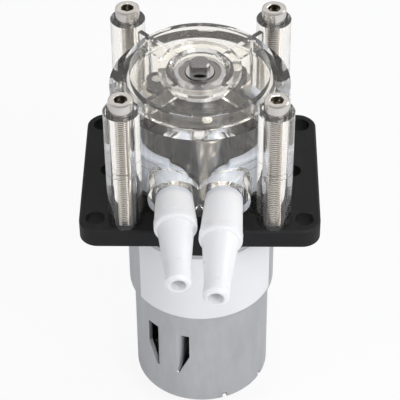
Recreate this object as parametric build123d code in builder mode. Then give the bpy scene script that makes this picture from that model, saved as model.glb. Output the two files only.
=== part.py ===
from build123d import *
import math
import os

# Peristaltic pump head on a brushed motor: a clear two-part housing on a black mounting plate, a rotor with
# three rollers that squeezes a silicone tube against the housing wall, and a single planetary reduction in
# the plate's boss. Millimetres. The origin is the centre of the plate's underside, which is the face that
# lies on a panel. +Z runs along the shaft, away from the motor, and the two tube ports face -Y.

os.makedirs("parts", exist_ok=True)

# ---------------------------------------------------------------- driving dimensions
# mounting plate, with the round boss below it that goes through the panel
plate_length = 70.4
plate_depth = 54.0
plate_thickness = 6.0
plate_corner_radius = 5.5
plate_edge_bevel = 0.6
boss_radius = 22.5
boss_depth = 8.0
panel_hole_radius = 2.8
panel_hole_pitch_x = 60.9
panel_hole_pitch_y = 43.0
side_hole_pitch = 54.6
side_hole_radius = 2.7

# housing: a raceway drum with four screw posts, parted half way up
post_pitch = 43.0
post_radius = 5.15
post_height = 40.3
parting_height = 19.2
raceway_radius = 21.0
drum_foot_radius = 23.6
drum_radius = 26.1
shoulder_height = 33.5
lid_rim_radius = 22.0
lid_rim_wall = 1.7
lid_rim_height = 38.4
housing_floor = 3.5
lid_thickness = 2.0
collar_radius = 12.0
collar_neck_radius = 9.7
collar_flange = 2.4
collar_height = 39.3
collar_bevel = 1.2
rib_thickness = 1.5
web_thickness = 5.0
foot_flare_height = 9.0
edge_break = 0.4

# angles and margins that hold for the whole part
diagonal = 45.0
flat_head_half_angle = 45.0
cut_margin = 1.0

# screws that clamp the housing to the plate, and their captive nuts
screw_radius = 2.0
screw_head_radius = 3.6
screw_head_height = 4.0
screw_socket_flats = 3.0
screw_socket_depth = 2.0
screw_length = 45.0
screw_hole_clearance = 0.15
nut_flats = 7.0
nut_thickness = 3.2
nut_recess = 1.0
nut_pocket_clearance = 0.1

# tube and its two end connectors; the ports point down and toward each other a little
tube_outer_radius = 4.8
tube_wall = 1.6
tube_squashed = 2.7
roller_running_gap = 0.25
tube_wall_gap = 0.05
tube_gap_half_angle = 25.0
port_half_pitch = 7.15
port_height = 13.6
port_toe_in = 3.2
port_droop = 5.0
port_collar_radius = 7.6
port_collar_reach = 2.0
port_collar_root = 3.0
tube_mouth_radius = 5.35
tube_lip_radius = 6.05
inlet_tube_reach = 11.0
outlet_tube_reach = 15.5
barb_radius = 4.5
barb_length = 9.0
barb_fit = 0.02
connector_flange_radius = 6.15
connector_flange = 2.8
connector_cone_radius = 5.2
connector_cone = 14.2
nozzle_radius = 3.7
nozzle_length = 6.3
nozzle_bevel = 0.8
connector_bore_radius = 2.2
shoulder_rounding = 0.8

# rotor
roller_count = 3
roller_radius = 4.5
roller_length = 21.0
roller_bore_radius = 3.0
roller_end_gap = 0.3
rotor_phase = -81.0
rotor_floor_gap = 0.5
rotor_plate_thickness = 2.2
rotor_lobe_radius = 3.1
rotor_hub_radius = 8.5
axle_radius = 1.5
bush_length = 4.0
bush_flange_radius = 2.4
running_clearance = 0.05
shaft_fit = 0.01
rotor_screw_circle = 6.2
rotor_screw_radius = 1.0
rotor_screw_head_radius = 1.9
rotor_screw_length = 8.0

# through shaft with a flat, and the two shielded ball bearings that carry it
shaft_radius = 3.0
shaft_flat_depth = 0.8
shaft_top = 40.9
shaft_chamfer = 0.5
bearing_radius = 7.5
bearing_width = 5.0
bearing_lip = 0.9
bearing_lip_clearance = 0.4
floor_lip = 0.6
plate_lip = 0.8
bearing_inner_ring_radius = 4.1
bearing_outer_ring_inside = 6.2
bearing_shield_inset = 0.3
bearing_shield_thickness = 0.4
bearing_shield_gap = 0.25
bearing_edge = 0.3

# planetary reduction: fixed ring, sun on the motor shaft, carrier on the pump shaft
gear_module = 0.7
gear_pressure_angle = 25.0
gear_addendum = 0.8
gear_dedendum = 1.05
gear_backlash = 0.12
gear_width = 4.2
sun_teeth = 12
planet_teeth = 18
planet_count = 3
planet_pin_radius = 1.5
gear_end_gap = 0.2
ring_rim_radius = 20.4
carrier_thickness = 2.0
carrier_rim = 2.6
gearbox_cover_thickness = 2.5
gearbox_screw_circle = 19.1
gearbox_screw_radius = 0.9
gearbox_screw_head_radius = 1.6
gearbox_screw_length = 9.5
gearbox_screw_count = 4

# brushed motor
motor_radius = 21.0
motor_length = 66.7
motor_wall = 1.3
motor_fit = 0.1
motor_nose_radius = 8.75
motor_nose_lip = 0.65
motor_shaft_radius = 2.5
motor_corner = 1.6
flux_ring_radius = 22.5
flux_ring_length = 27.5
flux_ring_gap_angle = 6.0
label_start = 1.4
label_end = 1.0
label_thickness = 0.12
label_from_angle = -145.0
label_to_angle = -22.0
motor_screw_circle = 14.5
motor_screw_radius = 2.0
motor_screw_head_radius = 3.9
motor_screw_length = 6.0
vent_top = 44.5
vent_bottom = 61.6
vent_width = 4.5
vent_point = 7.8
vent_tip = 1.1
vent_corner = 0.4
vent_angles = (-135.0, -106.0)
rim_notch_width = 1.4
rim_notch_depth = 1.8
rim_notch_angles = (-69.0, -28.0)
magnet_thickness = 3.4
magnet_start = 8.0
magnet_length = 29.0
magnet_half_angle = 58.0
armature_radius = 15.4
armature_length = 26.0
armature_poles = 5
pole_neck = 4.2
pole_shoe = 2.2
pole_gap = 2.6
winding_build = 2.6
winding_overhang = 3.0
commutator_radius = 5.4
commutator_length = 10.0
commutator_gap = 2.0
commutator_slit = 0.5
brush_width = 4.0
brush_height = 5.0
brush_length = 6.5
brush_box_wall = 0.9
end_cap_thickness = 3.6
end_cap_hub_radius = 7.0
end_cap_hub = 3.6
rear_bush_radius = 4.6
bush_height = 5.0
rear_wall = 1.0
shaft_end_gap = 0.7
terminal_width = 4.8
terminal_thickness = 0.8
terminal_reach = 8.0
terminal_hole_radius = 0.9
terminal_hole_inset = 2.2
terminal_pitch = 30.0

# ---------------------------------------------------------------- levels, all worked out from the above
plate_top = plate_thickness
parting_z = plate_top + parting_height
post_top_z = plate_top + post_height
shoulder_z = plate_top + shoulder_height
rim_top_z = plate_top + lid_rim_height
collar_top_z = plate_top + collar_height
ceiling_z = shoulder_z - lid_thickness
chamber_floor_z = plate_top + housing_floor
post_circle = post_pitch / math.sqrt(2)
port_z = plate_top + port_height

top_bearing_z = ceiling_z + bearing_lip
lower_bearing_top_z = chamber_floor_z - floor_lip
lower_bearing_z = lower_bearing_top_z - bearing_width
lip_radius = bearing_outer_ring_inside + bearing_lip_clearance

rotor_bottom_z = chamber_floor_z + rotor_floor_gap
roller_bottom_z = rotor_bottom_z + rotor_plate_thickness + roller_end_gap
roller_top_z = roller_bottom_z + roller_length
upper_plate_z = roller_top_z + roller_end_gap
rotor_top_z = upper_plate_z + rotor_plate_thickness

squash_outer = raceway_radius - tube_wall_gap
squash_inner = squash_outer - tube_squashed
roller_orbit = squash_inner - roller_running_gap - roller_radius
squash_height = math.pi * (tube_outer_radius - tube_wall / 2) + tube_wall

sun_pitch = gear_module * sun_teeth / 2
planet_pitch = gear_module * planet_teeth / 2
ring_teeth = sun_teeth + 2 * planet_teeth
ring_pitch = gear_module * ring_teeth / 2
planet_orbit = sun_pitch + planet_pitch
well_top_z = lower_bearing_z - plate_lip
carrier_top_z = well_top_z - gear_end_gap
carrier_bottom_z = carrier_top_z - carrier_thickness
gear_top_z = carrier_bottom_z - 2 * gear_end_gap
gear_bottom_z = gear_top_z - gear_width
cover_top_z = gear_bottom_z - gear_end_gap
motor_face_z = cover_top_z - gearbox_cover_thickness
ring_top_z = gear_top_z + gear_end_gap
motor_end_z = motor_face_z - motor_length
motor_inside = motor_radius - motor_wall


# ---------------------------------------------------------------- shared shapes
def d_profile(radius, flat_depth, mode=Mode.ADD):
    """Adds to the open sketch a round shaft section that has one flat, facing -Y."""
    with BuildSketch(mode=Mode.PRIVATE) as section:
        Circle(radius)
        with Locations((0, -radius)):
            Rectangle(2 * radius, 2 * flat_depth, mode=Mode.SUBTRACT)
    add(section.sketch, mode=mode)


def flank_angle(radius, teeth, slack):
    """Half the angle that a tooth fills at a radius: a true involute above its base circle."""
    pitch = gear_module * teeth / 2
    alpha = math.radians(gear_pressure_angle)
    base = pitch * math.cos(alpha)
    here = math.acos(min(1.0, base / max(radius, base)))
    half = math.pi / (2 * teeth) - slack / (2 * pitch)
    return half + (math.tan(alpha) - alpha) - (math.tan(here) - here)


def gear_points(teeth, tip, root, slack, turn):
    """Outline of an external gear: three points up each flank, worked out tooth by tooth."""
    pitch = gear_module * teeth / 2
    points = []
    for tooth in range(teeth):
        middle = 2 * math.pi * tooth / teeth + math.radians(turn)
        for side, radii in ((-1, (root, pitch, tip)), (1, (tip, pitch, root))):
            for radius in radii:
                angle = middle + side * flank_angle(radius, teeth, slack)
                points.append((radius * math.cos(angle), radius * math.sin(angle)))
    return points


def gear_outline(teeth, grow_tip, grow_root, slack, turn, mode=Mode.ADD):
    """Adds a gear section to the open sketch."""
    pitch = gear_module * teeth / 2
    points = gear_points(teeth, pitch + grow_tip, pitch - grow_root, slack, turn)
    Polygon(*points, align=None, mode=mode)


def port_plane(side, out=0.0):
    """Plane at a port's mouth on the drum: its normal runs out of the port. Side is -1 or +1."""
    toe = math.radians(port_toe_in)
    droop = math.radians(port_droop)
    normal = Vector(
        -side * math.sin(toe) * math.cos(droop),
        -math.cos(toe) * math.cos(droop),
        -math.sin(droop),
    )
    mouth = Vector(side * port_half_pitch, -drum_radius, port_z) + normal * out
    return Plane(origin=mouth, x_dir=(0, 0, 1), z_dir=normal)


def posts(low, high):
    """Adds the four round screw posts between two heights to the open part."""
    with BuildSketch(Plane.XY.offset(low)) as post_plan:
        with GridLocations(post_pitch, post_pitch, 2, 2):
            Circle(post_radius)
    extrude(post_plan.sketch, amount=high - low)


def post_webs(low, high, inner_radius):
    """Adds the webs that tie the drum to its four posts."""
    with BuildSketch(Plane.XY.offset(low)) as web_plan:
        with PolarLocations((inner_radius + post_circle) / 2, 4, start_angle=diagonal):
            Rectangle(post_circle - inner_radius, web_thickness)
    extrude(web_plan.sketch, amount=high - low)


def post_holes():
    """Cuts the screws' clearance holes through the open part."""
    with GridLocations(post_pitch, post_pitch, 2, 2):
        Hole(screw_radius + screw_hole_clearance)


def port_collars():
    """Adds the two thick collars that the tube comes out of."""
    for side in (-1, 1):
        with BuildSketch(port_plane(side, port_collar_reach)) as collar_end:
            Circle(port_collar_radius)
        extrude(collar_end.sketch, amount=-(collar_depth + port_collar_reach))


def port_bores():
    """Cuts the round ways for the tube's legs, from outside into the drum."""
    for side in (-1, 1):
        with BuildSketch(port_plane(side, port_collar_reach + cut_margin)) as bore_end:
            Circle(tube_mouth_radius + tube_wall_gap)
        extrude(bore_end.sketch, amount=-(leg_depth + port_collar_reach + cut_margin), mode=Mode.SUBTRACT)


leg_depth = drum_radius - squash_inner * math.cos(math.radians(tube_gap_half_angle))
collar_depth = drum_radius - raceway_radius + port_collar_root

# ---------------------------------------------------------------- mounting plate
with BuildPart() as mounting_plate:
    with BuildSketch():
        RectangleRounded(plate_length, plate_depth, plate_corner_radius)
    extrude(amount=plate_thickness)
    chamfer(mounting_plate.edges().group_by(Axis.Z)[-1], plate_edge_bevel)
    with BuildSketch():
        Circle(boss_radius)
    extrude(amount=-boss_depth)
    with GridLocations(panel_hole_pitch_x, panel_hole_pitch_y, 2, 2):
        Hole(panel_hole_radius)
    with GridLocations(side_hole_pitch, 1, 2, 1):
        Hole(side_hole_radius)
    post_holes()
    with BuildSketch(Plane.XY):
        with GridLocations(post_pitch, post_pitch, 2, 2):
            RegularPolygon(nut_flats / 2 + nut_pocket_clearance, 6, major_radius=False)
    extrude(amount=nut_recess + nut_thickness, mode=Mode.SUBTRACT)
    # stepped well from below: motor recess, ring gear, carrier, then the lower bearing's seat from above
    with BuildSketch(Plane.XY.offset(-boss_depth)):
        Circle(motor_radius + motor_fit)
    extrude(amount=boss_depth + cover_top_z, mode=Mode.SUBTRACT)
    with BuildSketch(Plane.XY.offset(cover_top_z)):
        Circle(ring_rim_radius + motor_fit)
    extrude(amount=ring_top_z - cover_top_z, mode=Mode.SUBTRACT)
    with BuildSketch(Plane.XY.offset(ring_top_z)):
        Circle(ring_pitch)
    extrude(amount=well_top_z - ring_top_z, mode=Mode.SUBTRACT)
    with BuildSketch(Plane.XY.offset(lower_bearing_z)):
        Circle(bearing_radius)
    extrude(amount=plate_thickness - lower_bearing_z, mode=Mode.SUBTRACT)
    with BuildSketch():
        Circle(lip_radius)
    extrude(amount=plate_thickness, mode=Mode.SUBTRACT)
    with BuildSketch(Plane.XY.offset(ring_top_z)):
        with PolarLocations(gearbox_screw_circle, gearbox_screw_count, start_angle=diagonal):
            Circle(gearbox_screw_radius)
    extrude(amount=gearbox_screw_length - (ring_top_z - motor_face_z), mode=Mode.SUBTRACT)

with BuildPart() as plate_nuts:
    with BuildSketch(Plane.XY.offset(nut_recess)):
        with GridLocations(post_pitch, post_pitch, 2, 2):
            RegularPolygon(nut_flats / 2, 6, major_radius=False)
            Circle(screw_radius, mode=Mode.SUBTRACT)
    extrude(amount=nut_thickness)

# ---------------------------------------------------------------- clear housing, lower half
with BuildPart() as lower_housing:
    with BuildSketch(Plane.XZ):
        with BuildLine():
            Polyline(
                (0, plate_top),
                (drum_foot_radius, plate_top),
                (drum_foot_radius, plate_top + foot_flare_height - (drum_radius - drum_foot_radius)),
                (drum_radius, plate_top + foot_flare_height),
                (drum_radius, parting_z),
                (0, parting_z),
                close=True,
            )
        make_face()
    revolve(axis=Axis.Z)
    posts(plate_top, parting_z)
    post_webs(plate_top, parting_z, raceway_radius)
    port_collars()
    split(bisect_by=Plane.XY.offset(parting_z), keep=Keep.BOTTOM)
    with BuildSketch(Plane.XY.offset(chamber_floor_z)):
        Circle(raceway_radius)
    extrude(amount=parting_height, mode=Mode.SUBTRACT)
    with BuildSketch(Plane.XY.offset(plate_top)):
        Circle(bearing_radius)
    extrude(amount=lower_bearing_top_z - plate_top, mode=Mode.SUBTRACT)
    with BuildSketch(Plane.XY.offset(plate_top)):
        Circle(lip_radius)
    extrude(amount=housing_floor, mode=Mode.SUBTRACT)
    port_bores()
    post_holes()

# ---------------------------------------------------------------- clear housing, upper half with the lid
with BuildPart() as upper_housing:
    with BuildSketch(Plane.XZ):
        with BuildLine():
            Polyline(
                (0, parting_z),
                (drum_radius, parting_z),
                (drum_radius, shoulder_z),
                (lid_rim_radius, shoulder_z),
                (lid_rim_radius, rim_top_z),
                (lid_rim_radius - lid_rim_wall, rim_top_z),
                (lid_rim_radius - lid_rim_wall, shoulder_z),
                (collar_neck_radius, shoulder_z),
                (collar_neck_radius, collar_top_z - collar_flange),
                (collar_radius, collar_top_z - collar_flange),
                (collar_radius, collar_top_z),
                (0, collar_top_z),
                close=True,
            )
        make_face()
    revolve(axis=Axis.Z)
    posts(parting_z, post_top_z)
    post_webs(parting_z, shoulder_z, raceway_radius)
    with BuildSketch(Plane.XY.offset(shoulder_z)):
        with PolarLocations((bearing_radius + post_circle) / 2, 4, start_angle=diagonal):
            Rectangle(post_circle - bearing_radius, rib_thickness)
    extrude(amount=rim_top_z - shoulder_z)
    port_collars()
    split(bisect_by=Plane.XY.offset(parting_z), keep=Keep.TOP)
    with BuildSketch(Plane.XY.offset(parting_z)):
        Circle(raceway_radius)
    extrude(amount=ceiling_z - parting_z, mode=Mode.SUBTRACT)
    with BuildSketch(Plane.XY.offset(top_bearing_z)):
        Circle(bearing_radius)
    extrude(amount=collar_top_z - top_bearing_z, mode=Mode.SUBTRACT)
    with BuildSketch(Plane.XY.offset(ceiling_z)):
        Circle(lip_radius)
    extrude(amount=collar_top_z - ceiling_z, mode=Mode.SUBTRACT)
    collar_mouth = (
        upper_housing.edges()
        .filter_by(GeomType.CIRCLE)
        .filter_by_position(Axis.Z, collar_top_z - 0.01, collar_top_z + 0.01)
        .sort_by(SortBy.RADIUS)[0]
    )
    chamfer(collar_mouth, collar_bevel)
    post_holes()

# ---------------------------------------------------------------- clamping screws
screw_tip_z = post_top_z - screw_length
with BuildPart() as housing_screws:
    with BuildSketch(Plane.XY.offset(post_top_z)):
        with GridLocations(post_pitch, post_pitch, 2, 2):
            Circle(screw_head_radius)
    extrude(amount=screw_head_height)
    chamfer(housing_screws.edges().group_by(Axis.Z)[-1], edge_break)
    with BuildSketch(Plane.XY.offset(screw_tip_z)):
        with GridLocations(post_pitch, post_pitch, 2, 2):
            Circle(screw_radius)
    extrude(amount=post_top_z - screw_tip_z)
    with BuildSketch(Plane.XY.offset(post_top_z + screw_head_height)):
        with GridLocations(post_pitch, post_pitch, 2, 2):
            RegularPolygon(screw_socket_flats / 2, 6, major_radius=False)
    extrude(amount=-screw_socket_depth, mode=Mode.SUBTRACT)

# ---------------------------------------------------------------- silicone tube
# Inside the drum the rollers keep the tube squeezed against the raceway, so it is a flat band there. Its
# two legs are round, and widen where they are pushed onto the connectors' barbs.
band_low = port_z - squash_height / 2
band_gap_width = 2 * squash_inner * math.sin(math.radians(tube_gap_half_angle))


def tube_leg(side, reach):
    """Adds one round leg of the tube, without its bore."""
    with BuildSketch(port_plane(side, -leg_depth)) as leg_root:
        Circle(tube_outer_radius)
    with BuildSketch(port_plane(side, port_collar_reach)) as leg_mouth:
        Circle(tube_mouth_radius)
    with BuildSketch(port_plane(side, reach)) as leg_lip:
        Circle(tube_lip_radius)
    loft([leg_root.sketch.face(), leg_mouth.sketch.face()])
    loft([leg_mouth.sketch.face(), leg_lip.sketch.face()])


def tube_bore(side, reach):
    """Cuts a leg's bore: its own size inside the drum, then the barb's shape."""
    with BuildSketch(port_plane(side, reach - barb_length)) as bore_start:
        Circle(tube_outer_radius - tube_wall)
    with BuildSketch(port_plane(side, reach)) as bore_lip:
        Circle(barb_radius)
    extrude(bore_start.sketch, amount=-(leg_depth + reach - barb_length - tube_wall), mode=Mode.SUBTRACT)
    loft([bore_start.sketch.face(), bore_lip.sketch.face()], mode=Mode.SUBTRACT)


with BuildPart() as pump_tube:
    with BuildSketch(Plane.XY.offset(band_low)):
        Circle(squash_outer)
        Circle(squash_inner, mode=Mode.SUBTRACT)
        with Locations((0, -squash_outer)):
            Rectangle(band_gap_width, squash_outer, mode=Mode.SUBTRACT)
    extrude(amount=squash_height)
    tube_leg(-1, inlet_tube_reach)
    tube_leg(1, outlet_tube_reach)
    with BuildSketch(Plane.XY.offset(band_low)):
        Circle(squash_inner)
    extrude(amount=squash_height, mode=Mode.SUBTRACT)
    tube_bore(-1, inlet_tube_reach)
    tube_bore(1, outlet_tube_reach)


# ---------------------------------------------------------------- end connectors
nozzle_start = connector_flange + connector_cone
nozzle_tip = nozzle_start + nozzle_length


def port_section(side, reach):
    """Plane through a port's axis: x runs out along the axis from the tube's lip, y is the radius."""
    mouth = port_plane(side, reach)
    return Plane(origin=mouth.origin, x_dir=mouth.z_dir, z_dir=mouth.x_dir)


connectors = []
connector_places = (
    (-1, inlet_tube_reach, "inlet_connector"),
    (1, outlet_tube_reach, "outlet_connector"),
)
for side, reach, name in connector_places:
    mouth = port_plane(side, reach)
    with BuildPart() as connector:
        with BuildSketch(port_section(side, reach)) as half_section:
            with BuildLine():
                Polyline(
                    (-barb_length, connector_bore_radius),
                    (-barb_length, tube_outer_radius - tube_wall - barb_fit),
                    (0, barb_radius - barb_fit),
                    (0, connector_flange_radius),
                    (connector_flange, connector_flange_radius),
                    (connector_flange, connector_cone_radius),
                    (nozzle_start, nozzle_radius),
                    (nozzle_tip - nozzle_bevel, nozzle_radius),
                    (nozzle_tip, nozzle_radius - nozzle_bevel),
                    (nozzle_tip, connector_bore_radius),
                    close=True,
                )
            make_face()
        port_axis = Axis(mouth.origin, mouth.z_dir)
        revolve(axis=port_axis)
        flange_rims = connector.edges().filter_by(GeomType.CIRCLE).group_by(SortBy.RADIUS)[-1]
        fillet(flange_rims.sort_by(port_axis)[-1], shoulder_rounding)
    connector.part.label = name
    connectors.append(connector)

# ---------------------------------------------------------------- rotor
lobe_angle = 360.0 / roller_count


def lobed_plate(low):
    """A rotor plate: a rounded triangle around the axles, with a flatted shaft hole."""
    with BuildSketch(Plane.XY.offset(low)) as outline:
        with BuildLine():
            CenterArc((0, 0), rotor_hub_radius, 0, 360)
            for lobe in range(roller_count):
                turn = math.radians(rotor_phase + lobe * lobe_angle)
                lobe_centre = (roller_orbit * math.cos(turn), roller_orbit * math.sin(turn))
                CenterArc(lobe_centre, rotor_lobe_radius, 0, 360)
        make_hull()
    return outline.sketch


with BuildPart() as rotor_lower_plate:
    extrude(lobed_plate(rotor_bottom_z), amount=rotor_plate_thickness)
    with BuildSketch(Plane.XY.offset(lower_bearing_top_z)):
        Circle(bearing_inner_ring_radius - running_clearance)
    extrude(amount=rotor_bottom_z - lower_bearing_top_z)
    with BuildSketch(Plane.XY.offset(lower_bearing_top_z)):
        d_profile(shaft_radius + shaft_fit, shaft_flat_depth)
    extrude(amount=rotor_bottom_z + rotor_plate_thickness - lower_bearing_top_z, mode=Mode.SUBTRACT)
    with BuildSketch(Plane.XY.offset(rotor_bottom_z)):
        with PolarLocations(roller_orbit, roller_count, start_angle=rotor_phase):
            Circle(axle_radius)
    extrude(amount=rotor_plate_thickness, mode=Mode.SUBTRACT)

with BuildPart() as rotor_hub:
    with BuildSketch(Plane.XY.offset(rotor_bottom_z + rotor_plate_thickness)):
        Circle(rotor_hub_radius)
        d_profile(shaft_radius + shaft_fit, shaft_flat_depth, Mode.SUBTRACT)
        with PolarLocations(rotor_screw_circle, roller_count, start_angle=rotor_phase + lobe_angle / 2):
            Circle(rotor_screw_radius, mode=Mode.SUBTRACT)
    extrude(amount=upper_plate_z - rotor_bottom_z - rotor_plate_thickness)

with BuildPart() as rotor_upper_plate:
    extrude(lobed_plate(upper_plate_z), amount=rotor_plate_thickness)
    with BuildSketch(Plane.XY.offset(rotor_top_z)):
        Circle(bearing_inner_ring_radius - running_clearance)
    extrude(amount=top_bearing_z - rotor_top_z)
    with BuildSketch(Plane.XY.offset(upper_plate_z)):
        d_profile(shaft_radius + shaft_fit, shaft_flat_depth)
        with PolarLocations(roller_orbit, roller_count, start_angle=rotor_phase):
            Circle(axle_radius)
    extrude(amount=top_bearing_z - upper_plate_z, mode=Mode.SUBTRACT)
    with Locations(Plane.XY.offset(rotor_top_z)):
        with PolarLocations(rotor_screw_circle, roller_count, start_angle=rotor_phase + lobe_angle / 2):
            CounterSinkHole(rotor_screw_radius, rotor_screw_head_radius)

with BuildPart() as rotor_screws:
    with BuildSketch(Plane.XY.offset(rotor_top_z)):
        with PolarLocations(rotor_screw_circle, roller_count, start_angle=rotor_phase + lobe_angle / 2):
            Circle(rotor_screw_head_radius)
    extrude(amount=-(rotor_screw_head_radius - rotor_screw_radius), taper=flat_head_half_angle)
    with BuildSketch(Plane.XY.offset(rotor_top_z)):
        with PolarLocations(rotor_screw_circle, roller_count, start_angle=rotor_phase + lobe_angle / 2):
            Circle(rotor_screw_radius)
    extrude(amount=-rotor_screw_length)

with BuildPart() as roller_axles:
    with BuildSketch(Plane.XY.offset(rotor_bottom_z)):
        with PolarLocations(roller_orbit, roller_count, start_angle=rotor_phase):
            Circle(axle_radius)
    extrude(amount=rotor_top_z - rotor_bottom_z)

rollers = []
roller_bushes = []
for number in range(roller_count):
    turn = math.radians(rotor_phase + number * lobe_angle)
    centre = (roller_orbit * math.cos(turn), roller_orbit * math.sin(turn))
    with BuildPart() as roller:
        with BuildSketch(Plane.XY.offset(roller_bottom_z)):
            with Locations(centre):
                Circle(roller_radius)
                Circle(roller_bore_radius, mode=Mode.SUBTRACT)
        extrude(amount=roller_length)
        outer_rims = roller.edges().filter_by(GeomType.CIRCLE).group_by(SortBy.RADIUS)[-1]
        chamfer(outer_rims, edge_break)
    roller.part.label = f"roller_{number + 1}"
    rollers.append(roller)
    with BuildPart() as bushes:
        for end, inward in ((roller_bottom_z, 1), (roller_top_z, -1)):
            with BuildSketch(Plane.XY.offset(end)):
                with Locations(centre):
                    Circle(roller_bore_radius)
            extrude(amount=inward * bush_length)
            with BuildSketch(Plane.XY.offset(end)):
                with Locations(centre):
                    Circle(bush_flange_radius)
            extrude(amount=-inward * (roller_end_gap - running_clearance))
        with BuildSketch(Plane.XY.offset(rotor_bottom_z)):
            with Locations(centre):
                Circle(axle_radius + running_clearance)
        extrude(amount=rotor_top_z - rotor_bottom_z, mode=Mode.SUBTRACT)
    bushes.part.label = f"roller_bushes_{number + 1}"
    roller_bushes.append(bushes)

# ---------------------------------------------------------------- shaft and bearings
with BuildPart() as drive_shaft:
    with BuildSketch(Plane.XY.offset(carrier_bottom_z)):
        d_profile(shaft_radius, shaft_flat_depth)
    extrude(amount=plate_top + shaft_top - carrier_bottom_z)
    chamfer(drive_shaft.edges().group_by(Axis.Z)[-1], shaft_chamfer)

bearings = []
for low, place in ((top_bearing_z, "top"), (lower_bearing_z, "lower")):
    with BuildPart() as outer_ring:
        with BuildSketch(Plane.XY.offset(low)):
            Circle(bearing_radius)
            Circle(bearing_outer_ring_inside, mode=Mode.SUBTRACT)
        extrude(amount=bearing_width)
        chamfer(outer_ring.edges().filter_by(GeomType.CIRCLE).group_by(SortBy.RADIUS)[-1], bearing_edge)
    outer_ring.part.label = f"{place}_bearing_outer_ring"
    with BuildPart() as inner_ring:
        with BuildSketch(Plane.XY.offset(low)):
            Circle(bearing_inner_ring_radius)
            Circle(shaft_radius + shaft_fit, mode=Mode.SUBTRACT)
        extrude(amount=bearing_width)
    inner_ring.part.label = f"{place}_bearing_inner_ring"
    with BuildPart() as shields:
        for shield_z in (
            low + bearing_shield_inset,
            low + bearing_width - bearing_shield_inset - bearing_shield_thickness,
        ):
            with BuildSketch(Plane.XY.offset(shield_z)):
                Circle(bearing_outer_ring_inside)
                Circle(bearing_inner_ring_radius + bearing_shield_gap, mode=Mode.SUBTRACT)
            extrude(amount=bearing_shield_thickness)
    shields.part.label = f"{place}_bearing_shields"
    bearings += [outer_ring, inner_ring, shields]

# ---------------------------------------------------------------- planetary reduction
with BuildPart() as ring_gear:
    with BuildSketch(Plane.XY.offset(cover_top_z)):
        Circle(ring_rim_radius)
        gear_outline(
            ring_teeth,
            gear_dedendum * gear_module,
            gear_addendum * gear_module,
            -gear_backlash,
            180.0 / ring_teeth,
            Mode.SUBTRACT,
        )
        with PolarLocations(gearbox_screw_circle, gearbox_screw_count, start_angle=diagonal):
            Circle(gearbox_screw_radius, mode=Mode.SUBTRACT)
    extrude(amount=ring_top_z - cover_top_z)

with BuildPart() as sun_gear:
    with BuildSketch(Plane.XY.offset(gear_bottom_z)):
        gear_outline(
            sun_teeth, gear_addendum * gear_module, gear_dedendum * gear_module, gear_backlash, 0.0, Mode.ADD
        )
        Circle(motor_shaft_radius, mode=Mode.SUBTRACT)
    extrude(amount=gear_width)

planets = []
for number in range(planet_count):
    around = number * 360.0 / planet_count
    turn = math.radians(around)
    with BuildPart() as planet:
        with BuildSketch(Plane.XY.offset(gear_bottom_z)):
            with Locations((planet_orbit * math.cos(turn), planet_orbit * math.sin(turn))):
                gear_outline(
                    planet_teeth,
                    gear_addendum * gear_module,
                    gear_dedendum * gear_module,
                    gear_backlash,
                    around + 180.0 / planet_teeth,
                    Mode.ADD,
                )
                Circle(planet_pin_radius + running_clearance, mode=Mode.SUBTRACT)
        extrude(amount=gear_width)
    planet.part.label = f"planet_gear_{number + 1}"
    planets.append(planet)

with BuildPart() as planet_carrier:
    with BuildSketch(Plane.XY.offset(carrier_bottom_z)):
        Circle(planet_orbit + planet_pin_radius + carrier_rim)
        d_profile(shaft_radius + shaft_fit, shaft_flat_depth, Mode.SUBTRACT)
        with PolarLocations(planet_orbit, planet_count):
            Circle(planet_pin_radius, mode=Mode.SUBTRACT)
    extrude(amount=carrier_thickness)

with BuildPart() as planet_pins:
    with BuildSketch(Plane.XY.offset(gear_bottom_z)):
        with PolarLocations(planet_orbit, planet_count):
            Circle(planet_pin_radius)
    extrude(amount=carrier_top_z - gear_bottom_z)

with BuildPart() as gearbox_cover:
    with BuildSketch(Plane.XY.offset(motor_face_z)):
        Circle(motor_radius)
        Circle(motor_nose_radius + running_clearance, mode=Mode.SUBTRACT)
    extrude(amount=gearbox_cover_thickness)
    with Locations(Plane.XY.offset(cover_top_z)):
        with PolarLocations(motor_screw_circle, 2):
            CounterSinkHole(motor_screw_radius, motor_screw_head_radius)
    with Locations(Plane(origin=(0, 0, motor_face_z), x_dir=(1, 0, 0), z_dir=(0, 0, -1))):
        with PolarLocations(gearbox_screw_circle, gearbox_screw_count, start_angle=-diagonal):
            CounterSinkHole(gearbox_screw_radius, gearbox_screw_head_radius)

with BuildPart() as gearbox_screws:
    with BuildSketch(Plane.XY.offset(motor_face_z)):
        with PolarLocations(gearbox_screw_circle, gearbox_screw_count, start_angle=diagonal):
            Circle(gearbox_screw_head_radius)
    extrude(amount=gearbox_screw_head_radius - gearbox_screw_radius, taper=flat_head_half_angle)
    with BuildSketch(Plane.XY.offset(motor_face_z)):
        with PolarLocations(gearbox_screw_circle, gearbox_screw_count, start_angle=diagonal):
            Circle(gearbox_screw_radius)
    extrude(amount=gearbox_screw_length)

with BuildPart() as motor_screws:
    with BuildSketch(Plane.XY.offset(cover_top_z)):
        with PolarLocations(motor_screw_circle, 2):
            Circle(motor_screw_head_radius)
    extrude(amount=-(motor_screw_head_radius - motor_screw_radius), taper=flat_head_half_angle)
    with BuildSketch(Plane.XY.offset(cover_top_z)):
        with PolarLocations(motor_screw_circle, 2):
            Circle(motor_screw_radius)
    extrude(amount=-motor_screw_length)

# ---------------------------------------------------------------- motor
nose_top_z = cover_top_z
can_inner_face_z = motor_face_z - motor_wall
nose_inside = motor_nose_radius - motor_wall
ring_low_z = -boss_depth - flux_ring_length


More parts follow.
